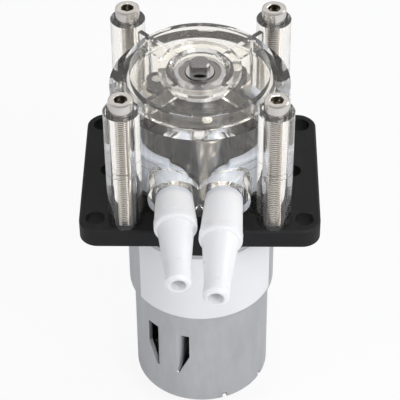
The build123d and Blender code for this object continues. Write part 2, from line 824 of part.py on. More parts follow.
def radial_plane(angle):
    """Upright plane through the shaft's axis: x runs outward at an angle, y runs up."""
    turn = math.radians(angle)
    return Plane(
        origin=(0, 0, 0),
        x_dir=(math.cos(turn), math.sin(turn), 0),
        z_dir=(math.sin(turn), -math.cos(turn), 0),
    )


def skin_plane(angle, radius, height):
    """Plane that touches a cylinder: x runs round it, y up it, and its normal points outward."""
    turn = math.radians(angle)
    return Plane(
        origin=(radius * math.cos(turn), radius * math.sin(turn), height),
        x_dir=(-math.sin(turn), math.cos(turn), 0),
        z_dir=(math.cos(turn), math.sin(turn), 0),
    )


with BuildPart() as motor_can:
    with BuildSketch(Plane.XZ):
        with BuildLine():
            Polyline(
                (nose_inside - motor_wall, nose_top_z),
                (motor_nose_radius, nose_top_z),
                (motor_nose_radius, motor_face_z),
                (motor_radius - motor_corner, motor_face_z),
                (motor_radius, motor_face_z - motor_corner),
                (motor_radius, motor_end_z),
                (motor_inside, motor_end_z),
                (motor_inside, can_inner_face_z),
                (nose_inside, can_inner_face_z),
                (nose_inside, nose_top_z - motor_nose_lip),
                (nose_inside - motor_wall, nose_top_z - motor_nose_lip),
                close=True,
            )
        make_face()
    revolve(axis=Axis.Z)
    with BuildSketch(Plane.XY.offset(motor_face_z)):
        with PolarLocations(motor_screw_circle, 2):
            Circle(motor_screw_radius)
    extrude(amount=-motor_wall, mode=Mode.SUBTRACT)
    for opposite in (0, 180):
        for vent_angle, long_side in zip(vent_angles, (1, -1)):
            with BuildSketch(skin_plane(vent_angle + opposite, motor_radius, 0)) as vent:
                with BuildLine():
                    Polyline(
                        (-long_side * vent_width / 2, -vent_top),
                        (long_side * vent_width / 2, -vent_top),
                        (long_side * vent_width / 2, -vent_bottom),
                        (long_side * (vent_width / 2 - vent_tip), -vent_bottom),
                        (-long_side * vent_width / 2, -vent_bottom + vent_point),
                        close=True,
                    )
                make_face()
                fillet(vent.vertices(), vent_corner)
            extrude(amount=-(motor_wall + cut_margin), both=True, mode=Mode.SUBTRACT)
        for notch_angle in rim_notch_angles:
            with BuildSketch(skin_plane(notch_angle + opposite, motor_radius, motor_end_z)):
                Rectangle(rim_notch_width, 2 * rim_notch_depth)
            extrude(amount=-(motor_wall + cut_margin), both=True, mode=Mode.SUBTRACT)

with BuildPart() as flux_ring:
    with BuildSketch(radial_plane(90 + flux_ring_gap_angle / 2)):
        with Locations(((motor_radius + flux_ring_radius) / 2, ring_low_z + flux_ring_length / 2)):
            Rectangle(flux_ring_radius - motor_radius, flux_ring_length)
    revolve(axis=Axis.Z, revolution_arc=360 - flux_ring_gap_angle)

label_high_z = -boss_depth - label_start
label_low_z = ring_low_z + label_end
with BuildPart() as motor_label:
    with BuildSketch(radial_plane(label_from_angle)):
        with Locations((flux_ring_radius + label_thickness / 2, (label_high_z + label_low_z) / 2)):
            Rectangle(label_thickness, label_high_z - label_low_z)
    revolve(axis=Axis.Z, revolution_arc=label_to_angle - label_from_angle)

magnet_middle_z = motor_face_z - magnet_start - magnet_length / 2
with BuildPart() as magnets:
    for middle in (0, 180):
        with BuildSketch(radial_plane(middle - magnet_half_angle)):
            with Locations((motor_inside - magnet_thickness / 2, magnet_middle_z)):
                Rectangle(magnet_thickness, magnet_length)
        revolve(axis=Axis.Z, revolution_arc=2 * magnet_half_angle)

with BuildPart() as front_bush:
    with BuildSketch(Plane.XY.offset(nose_top_z - motor_nose_lip)):
        Circle(nose_inside)
        Circle(motor_shaft_radius + running_clearance, mode=Mode.SUBTRACT)
    extrude(amount=-bush_height)

core_top_z = motor_face_z - magnet_start - (magnet_length - armature_length) / 2
core_low_z = core_top_z - armature_length
commutator_top_z = core_low_z - winding_overhang - commutator_gap
commutator_low_z = commutator_top_z - commutator_length
brush_z = (commutator_top_z + commutator_low_z) / 2
hub_low_z = motor_end_z - end_cap_hub

with BuildPart() as armature_core:
    with BuildSketch(Plane.XY.offset(core_low_z)):
        Circle(armature_radius)
        Circle(armature_radius - pole_shoe, mode=Mode.SUBTRACT)
        with PolarLocations(armature_radius, armature_poles, start_angle=180.0 / armature_poles):
            Rectangle(2 * (pole_shoe + cut_margin), pole_gap, mode=Mode.SUBTRACT)
        with PolarLocations((armature_radius - pole_shoe / 2) / 2, armature_poles):
            Rectangle(armature_radius - pole_shoe / 2, pole_neck)
        Circle(pole_neck)
        Circle(motor_shaft_radius, mode=Mode.SUBTRACT)
    extrude(amount=armature_length)

coil_inner = pole_neck + winding_build
coil_outer = armature_radius - pole_shoe - running_clearance
with BuildPart() as windings:
    with BuildSketch(Plane.XY.offset(core_low_z - winding_overhang)):
        with PolarLocations((coil_inner + coil_outer) / 2, armature_poles):
            Rectangle(coil_outer - coil_inner, pole_neck + 2 * winding_build)
        Circle(coil_outer, mode=Mode.INTERSECT)
    extrude(amount=armature_length + 2 * winding_overhang)
    with BuildSketch(Plane.XY.offset(core_low_z)):
        with PolarLocations((coil_inner + coil_outer) / 2, armature_poles):
            Rectangle(coil_outer - coil_inner, pole_neck)
    extrude(amount=armature_length, mode=Mode.SUBTRACT)

with BuildPart() as commutator:
    with BuildSketch(Plane.XY.offset(commutator_low_z)):
        Circle(commutator_radius)
        with PolarLocations(commutator_radius, armature_poles):
            Rectangle(commutator_radius - motor_shaft_radius, commutator_slit, mode=Mode.SUBTRACT)
        Circle(motor_shaft_radius, mode=Mode.SUBTRACT)
    extrude(amount=commutator_length)

with BuildPart() as motor_shaft:
    with BuildSketch(Plane.XY.offset(hub_low_z + rear_wall + shaft_end_gap)):
        Circle(motor_shaft_radius)
    extrude(amount=gear_top_z - hub_low_z - rear_wall - shaft_end_gap)

brush_inner = commutator_radius + running_clearance
with BuildPart() as brushes:
    for side in (-1, 1):
        with BuildSketch(Plane.XY.offset(brush_z - brush_height / 2)):
            with Locations((side * (brush_inner + brush_length / 2), 0)):
                Rectangle(brush_length, brush_width)
        extrude(amount=brush_height)
    with BuildSketch(Plane.XY.offset(commutator_low_z)):
        Circle(commutator_radius + running_clearance)
    extrude(amount=commutator_length, mode=Mode.SUBTRACT)

cap_inner_z = motor_end_z + end_cap_thickness
with BuildPart() as rear_end_cap:
    with BuildSketch(Plane.XY.offset(motor_end_z)):
        Circle(motor_inside)
    extrude(amount=end_cap_thickness)
    with BuildSketch(Plane.XY.offset(hub_low_z)):
        Circle(end_cap_hub_radius)
    extrude(amount=end_cap_hub)
    fillet(rear_end_cap.edges().group_by(Axis.Z)[0], edge_break)
    with BuildSketch(Plane.XY.offset(cap_inner_z)):
        for side in (-1, 1):
            with Locations((side * (brush_inner + brush_box_wall + brush_length / 2), 0)):
                Rectangle(brush_length, brush_width + 2 * brush_box_wall)
    extrude(amount=brush_z + brush_height / 2 + brush_box_wall - cap_inner_z)
    with BuildSketch(Plane.XY.offset(brush_z - brush_height / 2)):
        Rectangle(2 * (brush_inner + brush_length), brush_width)
    extrude(amount=brush_height, mode=Mode.SUBTRACT)
    with BuildSketch(Plane.XY.offset(cap_inner_z)):
        Circle(rear_bush_radius)
    extrude(amount=-(cap_inner_z - hub_low_z - rear_wall), mode=Mode.SUBTRACT)
    with BuildSketch(Plane.XY.offset(motor_end_z)):
        with GridLocations(terminal_pitch, 1, 2, 1):
            Rectangle(terminal_thickness, terminal_width)
    extrude(amount=end_cap_thickness, mode=Mode.SUBTRACT)

with BuildPart() as rear_bush:
    with BuildSketch(Plane.XY.offset(hub_low_z + rear_wall)):
        Circle(rear_bush_radius)
        Circle(motor_shaft_radius + running_clearance, mode=Mode.SUBTRACT)
    extrude(amount=bush_height)

with BuildPart() as terminals:
    with BuildSketch(Plane.XY.offset(motor_end_z - terminal_reach)):
        with GridLocations(terminal_pitch, 1, 2, 1):
            Rectangle(terminal_thickness, terminal_width)
    extrude(amount=terminal_reach + end_cap_thickness)
    with BuildSketch(Plane.YZ):
        with Locations((0, motor_end_z - terminal_reach + terminal_hole_inset)):
            Circle(terminal_hole_radius)
    extrude(amount=terminal_pitch, both=True, mode=Mode.SUBTRACT)

# ---------------------------------------------------------------- write every piece
mounting_plate.part.label = "mounting_plate"
plate_nuts.part.label = "plate_nuts"
lower_housing.part.label = "lower_housing"
upper_housing.part.label = "upper_housing"
housing_screws.part.label = "housing_screws"
pump_tube.part.label = "pump_tube"
rotor_lower_plate.part.label = "rotor_lower_plate"
rotor_hub.part.label = "rotor_hub"
rotor_upper_plate.part.label = "rotor_upper_plate"
rotor_screws.part.label = "rotor_screws"
roller_axles.part.label = "roller_axles"
drive_shaft.part.label = "drive_shaft"
ring_gear.part.label = "ring_gear"
sun_gear.part.label = "sun_gear"
planet_carrier.part.label = "planet_carrier"
planet_pins.part.label = "planet_pins"
gearbox_cover.part.label = "gearbox_cover"
gearbox_screws.part.label = "gearbox_screws"
motor_screws.part.label = "motor_screws"
motor_can.part.label = "motor_can"
flux_ring.part.label = "flux_ring"
motor_label.part.label = "motor_label"
magnets.part.label = "magnets"
front_bush.part.label = "front_bush"
armature_core.part.label = "armature_core"
windings.part.label = "windings"
commutator.part.label = "commutator"
motor_shaft.part.label = "motor_shaft"
brushes.part.label = "brushes"
rear_end_cap.part.label = "rear_end_cap"
rear_bush.part.label = "rear_bush"
terminals.part.label = "terminals"

single_pieces = [
    mounting_plate, plate_nuts, lower_housing, upper_housing, housing_screws, pump_tube,
    rotor_lower_plate, rotor_hub, rotor_upper_plate, rotor_screws, roller_axles, drive_shaft,
    ring_gear, sun_gear, planet_carrier, planet_pins, gearbox_cover, gearbox_screws, motor_screws,
    motor_can, flux_ring, motor_label, magnets, front_bush, armature_core, windings, commutator,
    motor_shaft, brushes, rear_end_cap, rear_bush, terminals,
]
for piece in single_pieces + connectors + rollers + roller_bushes + bearings + planets:
    export_step(piece.part, f"parts/{piece.part.label}.step")
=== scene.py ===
import math

import bmesh
import bpy
from mathutils import Matrix, Vector


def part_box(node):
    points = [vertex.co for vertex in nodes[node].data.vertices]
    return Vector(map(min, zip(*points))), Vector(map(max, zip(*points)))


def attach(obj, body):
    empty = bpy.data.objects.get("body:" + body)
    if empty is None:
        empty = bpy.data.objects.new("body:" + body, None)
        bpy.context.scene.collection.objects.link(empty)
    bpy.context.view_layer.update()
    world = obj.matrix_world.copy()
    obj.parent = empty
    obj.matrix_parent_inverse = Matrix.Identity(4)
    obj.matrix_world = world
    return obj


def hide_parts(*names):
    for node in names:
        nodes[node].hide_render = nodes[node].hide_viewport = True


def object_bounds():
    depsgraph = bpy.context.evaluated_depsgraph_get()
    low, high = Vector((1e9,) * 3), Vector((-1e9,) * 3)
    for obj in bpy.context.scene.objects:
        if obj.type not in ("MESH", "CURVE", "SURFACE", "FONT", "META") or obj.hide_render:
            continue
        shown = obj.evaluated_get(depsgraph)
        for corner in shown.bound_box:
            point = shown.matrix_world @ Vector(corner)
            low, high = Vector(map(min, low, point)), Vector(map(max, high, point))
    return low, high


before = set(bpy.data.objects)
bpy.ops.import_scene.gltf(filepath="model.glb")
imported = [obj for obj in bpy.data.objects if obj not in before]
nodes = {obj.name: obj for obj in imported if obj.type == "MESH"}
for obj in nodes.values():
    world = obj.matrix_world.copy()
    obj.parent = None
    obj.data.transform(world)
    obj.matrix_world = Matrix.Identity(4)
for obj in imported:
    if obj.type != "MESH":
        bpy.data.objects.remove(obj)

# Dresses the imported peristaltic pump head: one clear skin over both housing halves, real threads on the four
# screws, a soft tube, louvres bent in at the motor's vents, and a procedural material for every piece.
# Metres, in the part's own frame.

cad_low, cad_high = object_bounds()
BODY = "pump_body"
MM = 0.001


# ---------------------------------------------------------------- node helpers
def new_material(name, color, roughness, metallic=0.0):
    """A material with one Principled shader; returns the material, its tree and the shader."""
    material = bpy.data.materials.new(name)
    material.use_nodes = True
    tree = material.node_tree
    shader = tree.nodes["Principled BSDF"]
    shader.inputs["Base Color"].default_value = (*color, 1.0)
    shader.inputs["Roughness"].default_value = roughness
    shader.inputs["Metallic"].default_value = metallic
    return material, tree, shader


def place(tree, stretch=(1, 1, 1)):
    """Object coordinates in millimetres, stretched along each axis."""
    coordinates = tree.nodes.new("ShaderNodeTexCoord")
    mapping = tree.nodes.new("ShaderNodeMapping")
    mapping.inputs["Scale"].default_value = [factor / MM for factor in stretch]
    tree.links.new(coordinates.outputs["Object"], mapping.inputs["Vector"])
    return mapping.outputs["Vector"]


def coordinate(tree, vector, axis):
    """One coordinate of a vector."""
    split = tree.nodes.new("ShaderNodeSeparateXYZ")
    tree.links.new(vector, split.inputs["Vector"])
    return split.outputs[axis]


def calculate(tree, operation, first, second=None, clamp=False):
    """One step of arithmetic; the second term, where there is one, is a number or another output."""
    node = tree.nodes.new("ShaderNodeMath")
    node.operation = operation
    node.use_clamp = clamp
    tree.links.new(first, node.inputs[0])
    if isinstance(second, float):
        node.inputs[1].default_value = second
    elif second is not None:
        tree.links.new(second, node.inputs[1])
    return node.outputs["Value"]


def calculate_vector(tree, operation, first, second=None):
    """One step of vector arithmetic; the second term, where there is one, is three numbers."""
    node = tree.nodes.new("ShaderNodeVectorMath")
    node.operation = operation
    tree.links.new(first, node.inputs[0])
    if second is not None:
        node.inputs[1].default_value = second
    return node.outputs["Value" if operation == "LENGTH" else "Vector"]


def off_axis(tree, vector, centre=(0.0, 0.0)):
    """Distance in millimetres from an upright axis, whose centre is given in metres."""
    shifted = calculate_vector(tree, "SUBTRACT", vector, (centre[0] / MM, centre[1] / MM, 0.0))
    flat = calculate_vector(tree, "MULTIPLY", shifted, (1.0, 1.0, 0.0))
    return calculate_vector(tree, "LENGTH", flat)


def noise(tree, vector, scale, detail=3.0, rough=0.5):
    """Cloudy values from 0 to 1."""
    texture = tree.nodes.new("ShaderNodeTexNoise")
    texture.inputs["Scale"].default_value = scale
    texture.inputs["Detail"].default_value = detail
    texture.inputs["Roughness"].default_value = rough
    tree.links.new(vector, texture.inputs["Vector"])
    return texture.outputs["Fac"]


def rescale(tree, value, from_low, from_high, to_low=0.0, to_high=1.0):
    """Maps one range of a value onto another, and holds it at the ends."""
    node = tree.nodes.new("ShaderNodeMapRange")
    node.inputs["From Min"].default_value = from_low
    node.inputs["From Max"].default_value = from_high
    node.inputs["To Min"].default_value = to_low
    node.inputs["To Max"].default_value = to_high
    tree.links.new(value, node.inputs["Value"])
    return node.outputs["Result"]


def spread(tree, value, low, high):
    """Maps the middle half of a noise, where most of it lies, onto low..high."""
    return rescale(tree, value, 0.25, 0.75, low, high)


def tint(tree, value, dark, light):
    """Mixes two colours by a value."""
    node = tree.nodes.new("ShaderNodeMix")
    node.data_type = "RGBA"
    node.inputs["A"].default_value = (*dark, 1.0)
    node.inputs["B"].default_value = (*light, 1.0)
    tree.links.new(value, node.inputs["Factor"])
    return node.outputs["Result"]


def ramp(tree, value, stops):
    """Colours by a value, from (position, colour) stops in rising order."""
    node = tree.nodes.new("ShaderNodeValToRGB")
    elements = node.color_ramp.elements
    for element, (position, color) in zip(elements, (stops[0], stops[-1])):
        element.position = position
        element.color = (*color, 1.0)
    for position, color in stops[1:-1]:
        element = elements.new(position)
        element.color = (*color, 1.0)
    tree.links.new(value, node.inputs["Fac"])
    return node.outputs["Color"]


def bump(tree, shader, height, strength, depth_mm):
    """Raises a surface by a value, on top of any bump that its shader has already."""
    node = tree.nodes.new("ShaderNodeBump")
    node.inputs["Strength"].default_value = strength
    node.inputs["Distance"].default_value = depth_mm * MM
    tree.links.new(height, node.inputs["Height"])
    normal = shader.inputs["Normal"]
    if normal.is_linked:
        tree.links.new(normal.links[0].from_socket, node.inputs["Normal"])
    tree.links.new(node.outputs["Normal"], normal)


def mix_shaders(tree, share, first, second):
    """Two shaders, mixed by the second one's share."""
    node = tree.nodes.new("ShaderNodeMixShader")
    tree.links.new(share, node.inputs["Fac"])
    tree.links.new(first, node.inputs[1])
    tree.links.new(second, node.inputs[2])
    return node.outputs["Shader"]


def let_light_through(tree, shader, color):
    """Shadow rays pass, tinted, so that what is inside a clear piece is lit."""
    path = tree.nodes.new("ShaderNodeLightPath")
    clear = tree.nodes.new("ShaderNodeBsdfTransparent")
    clear.inputs["Color"].default_value = (*color, 1.0)
    shown = mix_shaders(tree, path.outputs["Is Shadow Ray"], shader.outputs["BSDF"], clear.outputs["BSDF"])
    tree.links.new(shown, tree.nodes["Material Output"].inputs["Surface"])


# ---------------------------------------------------------------- materials
# Surface coordinates come in millimetres, so the lengths named here are in millimetres.
CLEARNESS = 0.975  # share of the light that goes straight through the housing's plastic; the rest is haze
GROOVE_FLOOR = 0.03
GROOVE_EDGE = 0.16
GROOVE_DEPTH = 0.12
LATHE_RING = 0.22
PAINTED_LIGHT_FADE = 2.0  # either side of the port's mouth, where the tube turns from painted shade inside the housing to painted light beyond it


def clear_plastic(parting):
    """Moulded polycarbonate: a trace of warmth, faint flow waviness, and a groove at the parting height."""
    material, tree, shader = new_material("clear_plastic", (0.985, 0.968, 0.935), 0.015)
    shader.inputs["Transmission Weight"].default_value = CLEARNESS
    shader.inputs["IOR"].default_value = 1.45
    vector = place(tree)
    above = calculate(tree, "SUBTRACT", coordinate(tree, vector, "Z"), parting / MM)
    groove = rescale(tree, calculate(tree, "ABSOLUTE", above), GROOVE_FLOOR, GROOVE_EDGE)
    bump(tree, shader, noise(tree, vector, scale=0.11, detail=2.0), strength=0.25, depth_mm=0.5)
    bump(tree, shader, groove, strength=1.0, depth_mm=GROOVE_DEPTH)
    let_light_through(tree, shader, (0.88, 0.87, 0.85))
    return material


def moulded_plastic(name, dark, light, rough_low, rough_high, gloss=0.5):
    """Matt injection moulding: fine spark-eroded grain, with slow changes of sheen."""
    material, tree, shader = new_material(name, light, rough_high)
    shader.inputs["Specular IOR Level"].default_value = gloss
    vector = place(tree)
    cloud = noise(tree, vector, scale=0.08, detail=4.0)
    grain = noise(tree, vector, scale=2.2, detail=2.0, rough=0.6)
    tree.links.new(tint(tree, cloud, dark, light), shader.inputs["Base Color"])
    tree.links.new(spread(tree, cloud, rough_low, rough_high), shader.inputs["Roughness"])
    bump(tree, shader, grain, strength=0.35, depth_mm=0.05)
    return material


def metal(name, dark, light, rough_low, rough_high, stretch=(1, 1, 1), scale=0.8):
    """Bare or plated metal: stretched tool marks in colour, roughness and bump."""
    material, tree, shader = new_material(name, light, rough_high, metallic=1.0)
    marks = noise(tree, place(tree, stretch), scale, detail=5.0, rough=0.65)
    tree.links.new(tint(tree, marks, dark, light), shader.inputs["Base Color"])
    tree.links.new(spread(tree, marks, rough_low, rough_high), shader.inputs["Roughness"])
    bump(tree, shader, marks, strength=0.3, depth_mm=0.02)
    return material


def turned_metal(name, dark, light, rough_low, rough_high):
    """Metal faced on a lathe: fine rings round the shaft's axis."""
    material, tree, shader = new_material(name, light, rough_high, metallic=1.0)
    rings = tree.nodes.new("ShaderNodeTexNoise")
    rings.noise_dimensions = "1D"
    rings.inputs["Scale"].default_value = 1.0 / LATHE_RING
    rings.inputs["Detail"].default_value = 3.0
    tree.links.new(off_axis(tree, place(tree)), rings.inputs["W"])
    marks = rings.outputs["Fac"]
    tree.links.new(tint(tree, marks, dark, light), shader.inputs["Base Color"])
    tree.links.new(spread(tree, marks, rough_low, rough_high), shader.inputs["Roughness"])
    bump(tree, shader, marks, strength=0.3, depth_mm=0.02)
    return material


def nickel_with_painted_thread_shade(centre, root, crest):
    """Nickel plate on screws that stand at (+-centre, +-centre), with painted shade
    down in the threads' roots and in the socket.
    """
    material, tree, shader = new_material("nickel_with_painted_thread_shade", (0.7, 0.68, 0.65), 0.2, metallic=1.0)
    vector = place(tree)
    folded = calculate_vector(tree, "ABSOLUTE", vector)
    reach = rescale(tree, off_axis(tree, folded, (centre, centre)), 0.0, crest / MM)
    # Painted shade by distance from the screw's axis: dark brown on the socket's floor and the tip, near black
    # in the threads' roots, fading to the plate up the flanks.
    inside = (0.13, 0.105, 0.07)
    painted_root_shade = (0.03, 0.025, 0.02)
    plated = (0.72, 0.69, 0.66)
    stops = ((0.9 * root / crest, inside), (1.01 * root / crest, painted_root_shade), (0.98, plated))
    tree.links.new(ramp(tree, reach, stops), shader.inputs["Base Color"])
    marks = noise(tree, vector, scale=0.6, detail=4.0)
    tree.links.new(spread(tree, marks, 0.16, 0.28), shader.inputs["Roughness"])
    return material


def silicone(mouth):
    """Translucent, milky tube, with painted shade that keeps it darker and cooler inside the housing, and
    painted light that makes it whiter beyond the port's mouth."""
    material, tree, shader = new_material("silicone", (0.66, 0.69, 0.77), 0.34)
    shader.inputs["Subsurface Weight"].default_value = 0.4
    shader.inputs["Subsurface Radius"].default_value = (0.9, 1.0, 1.2)
    shader.inputs["Subsurface Scale"].default_value = 2 * MM
    shader.inputs["IOR"].default_value = 1.41
    vector = place(tree)
    cloud = noise(tree, vector, scale=0.25, detail=3.0)
    # The tube's own random tone, darkened and cooled by painted shade from the housing; beyond the port's
    # mouth it fades into a whiter painted light.
    tone_in_painted_shade = tint(tree, cloud, (0.50, 0.56, 0.68), (0.60, 0.65, 0.75))
    painted_light_share = rescale(tree, coordinate(tree, vector, "Y"), mouth / MM + PAINTED_LIGHT_FADE, mouth / MM - PAINTED_LIGHT_FADE)
    painted_light_mix = tree.nodes.new("ShaderNodeMix")
    painted_light_mix.data_type = "RGBA"
    painted_light_mix.inputs["B"].default_value = (0.97, 0.97, 0.99, 1.0)
    tree.links.new(painted_light_share, painted_light_mix.inputs["Factor"])
    tree.links.new(tone_in_painted_shade, painted_light_mix.inputs["A"])
    tree.links.new(painted_light_mix.outputs["Result"], shader.inputs["Base Color"])
    bump(tree, shader, noise(tree, vector, scale=1.6, detail=2.0), strength=0.15, depth_mm=0.05)
    return material


def nozzle_plastic():
    """White translucent moulding of the end connectors."""
    material, tree, shader = new_material("nozzle_plastic", (0.97, 0.97, 0.985), 0.3)
    shader.inputs["Subsurface Weight"].default_value = 0.4
    shader.inputs["Subsurface Radius"].default_value = (1.0, 1.0, 1.0)
    shader.inputs["Subsurface Scale"].default_value = 3 * MM
    vector = place(tree)
    cloud = noise(tree, vector, scale=0.3, detail=3.0)
    tree.links.new(tint(tree, cloud, (0.95, 0.95, 0.97), (0.98, 0.98, 0.99)), shader.inputs["Base Color"])
    tree.links.new(spread(tree, cloud, 0.26, 0.36), shader.inputs["Roughness"])
    bump(tree, shader, noise(tree, vector, scale=2.0, detail=2.0), strength=0.12, depth_mm=0.04)
    return material


def label_film():
    """Bare pale label: silver-grey film under a thin gloss, with a little cockle."""
    material, tree, shader = new_material("label_film", (0.62, 0.62, 0.63), 0.3)
    shader.inputs["Coat Weight"].default_value = 0.4
    shader.inputs["Coat Roughness"].default_value = 0.12
    vector = place(tree)
    cloud = noise(tree, vector, scale=0.12, detail=4.0)
    tree.links.new(tint(tree, cloud, (0.88, 0.88, 0.89), (0.92, 0.92, 0.93)), shader.inputs["Base Color"])
    bump(tree, shader, noise(tree, vector, scale=0.3, detail=2.0), strength=0.1, depth_mm=0.1)
    return material


ALONG = (1, 1, 0.3)  # tool marks that run along the shaft
AROUND = (1, 1, 8.0)  # tool marks that run round it
LAMINATED = (0.2, 0.2, 3.0)
WOUND = (0.3, 0.3, 6.0)

# Each gives a name, the darkest and the lightest colour, and the least and the most roughness.
BLACK = moulded_plastic("black_plastic", (0.008, 0.008, 0.009), (0.013, 0.013, 0.014), 0.5, 0.6, gloss=0.25)
DARK = moulded_plastic("dark_plastic", (0.012, 0.012, 0.014), (0.02, 0.02, 0.022), 0.4, 0.5, gloss=0.35)
NATURAL = moulded_plastic("natural_plastic", (0.72, 0.70, 0.64), (0.80, 0.78, 0.72), 0.4, 0.5)
CARBON = moulded_plastic("carbon", (0.01, 0.01, 0.01), (0.03, 0.03, 0.03), 0.35, 0.5)
FERRITE = moulded_plastic("ferrite", (0.05, 0.05, 0.05), (0.09, 0.09, 0.09), 0.5, 0.65)
NICKEL = metal("nickel", (0.50, 0.48, 0.45), (0.68, 0.66, 0.63), 0.14, 0.26, scale=0.5)
ZINC = metal("zinc", (0.44, 0.45, 0.46), (0.66, 0.67, 0.68), 0.3, 0.42, ALONG, 0.22)
RING = metal("ring_zinc", (0.47, 0.47, 0.48), (0.64, 0.64, 0.65), 0.32, 0.44, ALONG, 0.25)
ROLLED = metal("laminations", (0.25, 0.25, 0.26), (0.40, 0.40, 0.41), 0.35, 0.5, LAMINATED, 0.7)
ROLLER = metal("roller_steel", (0.30, 0.29, 0.27), (0.44, 0.42, 0.40), 0.16, 0.28, AROUND, 0.5)
COPPER = metal("enamelled_copper", (0.45, 0.16, 0.07), (0.75, 0.36, 0.18), 0.2, 0.35, WOUND, 0.8)
BRASS = metal("tinned_brass", (0.62, 0.56, 0.42), (0.78, 0.73, 0.60), 0.22, 0.35)
BRONZE = metal("bronze", (0.45, 0.33, 0.16), (0.6, 0.46, 0.26), 0.4, 0.55)
BEARING = turned_metal("bearing_steel", (0.50, 0.50, 0.51), (0.74, 0.74, 0.75), 0.16, 0.3)
SHAFT = turned_metal("shaft_steel", (0.22, 0.21, 0.21), (0.38, 0.37, 0.37), 0.2, 0.3)
SHIELD = turned_metal("bearing_shield", (0.24, 0.23, 0.22), (0.40, 0.38, 0.36), 0.2, 0.32)

lower_low, lower_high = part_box("lower_housing")
CLEAR = clear_plastic(lower_high.z)
TUBE = silicone(lower_low.y)
NOZZLE = nozzle_plastic()
FILM = label_film()

FINISHES = {
    CLEAR: ("lower_housing", "upper_housing"),
    BLACK: ("mounting_plate",),
    DARK: ("rotor_lower_plate", "rotor_upper_plate", "rotor_hub", "rear_end_cap"),
    NATURAL: (
        "roller_bushes_1", "roller_bushes_2", "roller_bushes_3",
        "ring_gear", "planet_gear_1", "planet_gear_2", "planet_gear_3",
    ),
    CARBON: ("brushes",),
    FERRITE: ("magnets",),
    NICKEL: ("housing_screws", "plate_nuts", "rotor_screws"),
    ZINC: ("motor_can", "gearbox_cover", "gearbox_screws", "motor_screws"),
    RING: ("flux_ring",),
    ROLLED: ("armature_core",),
    ROLLER: ("roller_1", "roller_2", "roller_3"),
    COPPER: ("windings", "commutator"),
    BRASS: ("terminals",),
    BRONZE: ("front_bush", "rear_bush"),
    BEARING: (
        "top_bearing_outer_ring", "top_bearing_inner_ring",
        "lower_bearing_outer_ring", "lower_bearing_inner_ring", "roller_axles",
    ),
    SHAFT: ("drive_shaft", "motor_shaft", "planet_pins", "sun_gear", "planet_carrier"),
    SHIELD: ("top_bearing_shields", "lower_bearing_shields"),
    TUBE: ("pump_tube",),
    NOZZLE: ("inlet_connector", "outlet_connector"),
    FILM: ("motor_label",),
}


def paint(obj, material):
    """Gives an object one material throughout."""
    if not obj.material_slots:
        obj.data.materials.append(material)
    for slot in obj.material_slots:
        slot.material = material


for material, names in FINISHES.items():
    for name in names:
        paint(nodes[name], material)


# ---------------------------------------------------------------- piece helpers
SHARP_ANGLE = 30


def add_object(name, data):
    """A new object in the scene."""
    obj = bpy.data.objects.new(name, data)
    bpy.context.scene.collection.objects.link(obj)
    return obj


def add_piece(name, data, material):
    """A new piece on the pump body, with its finish."""
    obj = add_object(name, data)
    paint(obj, material)
    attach(obj, BODY)
    return obj


def skin_over(mesh, loops):
    """Closes a row of equal loops of points into a solid, with a cap at each end."""
    count = len(loops[0])
    for here, beyond in zip(loops, loops[1:]):
        for k in range(count):
            n = (k + 1) % count
            mesh.faces.new((here[k], beyond[k], beyond[n], here[n]))
    mesh.faces.new(list(reversed(loops[0])))
    mesh.faces.new(loops[-1])


def to_data(mesh, name):
    """Turns a working mesh into mesh data, and frees it."""
    data = bpy.data.meshes.new(name)
    mesh.to_mesh(data)
    mesh.free()
    return data


def smooth_by_angle(data, degrees):
    """Smooth shading, with the edges sharper than an angle kept crisp."""
    for face in data.polygons:
        face.use_smooth = True
    data.set_sharp_from_angle(angle=math.radians(degrees))


def modified(obj):
    """An object's mesh after its modifiers; the object itself is removed."""
    graph = bpy.context.evaluated_depsgraph_get()
    data = bpy.data.meshes.new_from_object(obj.evaluated_get(graph))
    bpy.data.objects.remove(obj)
    return data


# ---------------------------------------------------------------- screws with real threads
HEAD_RADIUS = 3.6 * MM
HEAD_HEIGHT = 4.0 * MM
HEAD_BEVEL = 0.5 * MM
BEVEL_MIDDLE_DROP = 0.18 * MM  # where the bevel's middle lies below the top, and inside the head's wall
BEVEL_MIDDLE_INSET = 0.14 * MM
HEAD_FOOT_BEVEL = 0.15 * MM
SOCKET_HALF = 1.7 * MM
SOCKET_DEPTH = 2.0 * MM
SOCKET_FLOOR_RISE = 0.25 * MM
SOCKET_CHAMFER = 0.2 * MM
THREAD_RADIUS = 2.0 * MM
THREAD_ROOT = 1.62 * MM
THREAD_PITCH = 0.7 * MM
THREAD_ROOT_SHARE = 0.35  # share of the pitch that lies flat at the root
THREAD_FLANK_SHARE = 0.3  # share of it in the two flanks
SHANK_OVERSIZE = 0.05 * MM
SHANK_LENGTH = 0.3 * MM
TIP_LENGTH = 0.5 * MM
TIP_TAPER = 0.3 * MM
SCREW_SIDES = 36
STEPS_PER_TURN = 8
SCREW_SHARP_ANGLE = 25
FIRST_HEAD_TURN = 17  # degrees, and more for each next one, because tightened screws all stand differently
NEXT_HEAD_TURN = 23


def circle(radius):
    """A circle: the same distance at every angle."""
    return lambda angle: radius


def hexagon(half_flats):
    """A hexagon: its edge's distance from the middle, at an angle."""
    sector = math.radians(60)
    return lambda angle: half_flats / math.cos((angle + sector / 2) % sector - sector / 2)


def thread(height):
    """A screw thread at a height: a flat-rooted vee that climbs once a turn."""

    def radius(angle):
        phase = (height / THREAD_PITCH - angle / (2 * math.pi)) % 1.0
        vee = abs(2 * phase - 1)
        rise = min(1.0, max(0.0, (vee - THREAD_ROOT_SHARE) / THREAD_FLANK_SHARE))
        return THREAD_ROOT + (THREAD_RADIUS - THREAD_ROOT) * rise

    return radius


